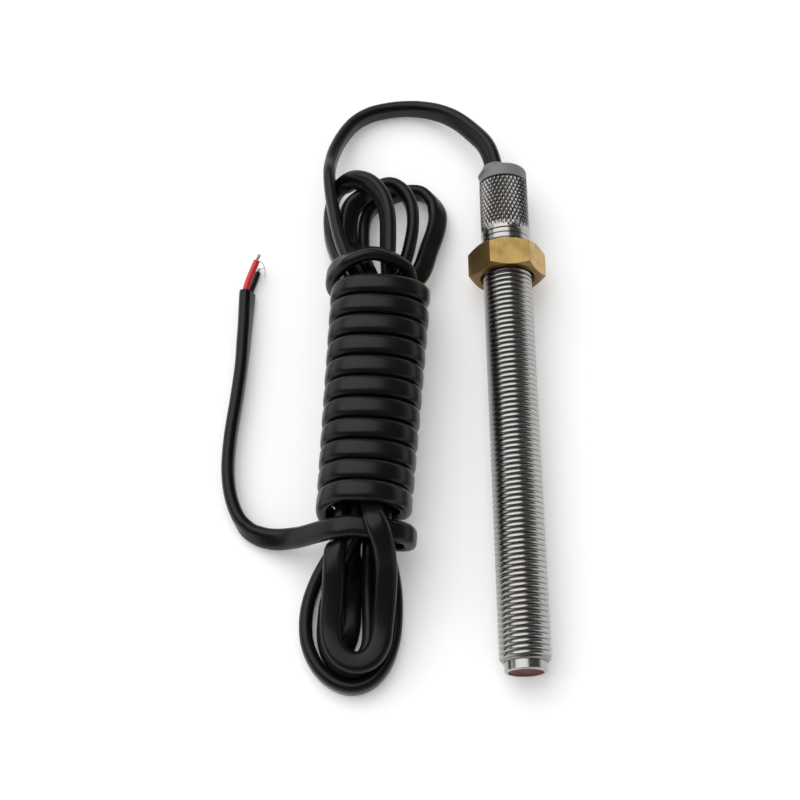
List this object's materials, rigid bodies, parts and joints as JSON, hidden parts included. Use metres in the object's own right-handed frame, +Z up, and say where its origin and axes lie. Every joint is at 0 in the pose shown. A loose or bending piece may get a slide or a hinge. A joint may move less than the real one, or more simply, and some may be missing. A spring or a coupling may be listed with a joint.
{
  "type": "magnetic speed sensor",
  "caption": "Threaded steel magnetic speed pickup with a knurled cable end, a brass lock nut, a potted sensing tip and a flat black cable wound into a hank.",
  "frame": {"origin": "on the table under the middle of the sensor itself, the cable not counted", "axes": "+Y along the sensor from its sensing tip to its cable end, +X to the side away from the wound cable, +Z up from the table"},
  "size_m": [0.0929, 0.1852, 0.025],
  "materials": {
    "stainless_steel": "turned and threaded stainless steel, bright with fine machining lines",
    "brass": "machined brass, satin with fine vertical tool lines",
    "grey_potting": "cast dark grey potting compound, satin",
    "red_epoxy": "dark red cast epoxy, glossy",
    "soft_iron": "machined soft iron",
    "natural_nylon": "moulded natural nylon",
    "copper_wire": "enamelled copper wire",
    "magnet_alloy": "cast magnet alloy",
    "board_laminate": "glass fibre laminate",
    "black_pvc": "extruded black PVC, semi-gloss",
    "red_pvc": "extruded red PVC core insulation",
    "core_black_pvc": "extruded black PVC core insulation",
    "tinned_strands": "fine tinned copper strands"
  },
  "bodies": {
    "sensor": {"housing_barrel": "stainless_steel", "rear_potting_cap": "grey_potting", "face_potting": "red_epoxy", "pole_piece": "soft_iron", "bobbin": "natural_nylon", "coil_winding": "copper_wire", "bar_magnet": "magnet_alloy", "back_plate": "soft_iron", "terminal_board": "board_laminate", "terminal_pin_red": "tinned_strands", "terminal_pin_black": "tinned_strands", "coil_lead_red": "copper_wire", "coil_lead_black": "copper_wire", "inner_core_red": "red_pvc", "inner_core_black": "core_black_pvc", "joint_sleeve_red": "core_black_pvc", "joint_sleeve_black": "core_black_pvc", "cable_lead": "black_pvc", "cable_hank": "black_pvc", "cable_tail": "black_pvc", "core_red": "red_pvc", "core_black": "core_black_pvc", "strands_red": "tinned_strands", "strands_black": "tinned_strands"},
    "nut": {"lock_nut": "brass"}
  },
  "joints": [
    {"name": "nut_travel", "type": "slide", "parent": "sensor", "child": "nut", "axis": [0, -0.9997, -0.0247], "range_m": [0, 0.112]}
  ]
}
